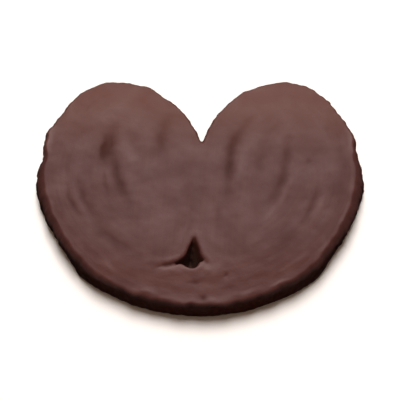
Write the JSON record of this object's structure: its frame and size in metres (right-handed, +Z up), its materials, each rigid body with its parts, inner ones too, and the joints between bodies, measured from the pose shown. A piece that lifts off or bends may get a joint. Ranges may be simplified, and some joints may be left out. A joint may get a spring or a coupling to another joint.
{
  "type": "palmier pastry",
  "caption": "Heart-shaped slice of a double roll of puff pastry, coated all over in dark chocolate, lying flat, for eating.",
  "frame": {"origin": "middle of the footprint, on the plane that the slice rests on", "axes": "+Y from the closed end towards the tips of the two rolls, +X across the rolls, +Z up from the resting face"},
  "size_m": [0.1318, 0.1088, 0.0125],
  "materials": {
    "chocolate": "dark chocolate coating, satin, with soft streaks along the rolled layers"
  },
  "bodies": {
    "root": {"palmier": "chocolate"}
  },
  "joints": []
}
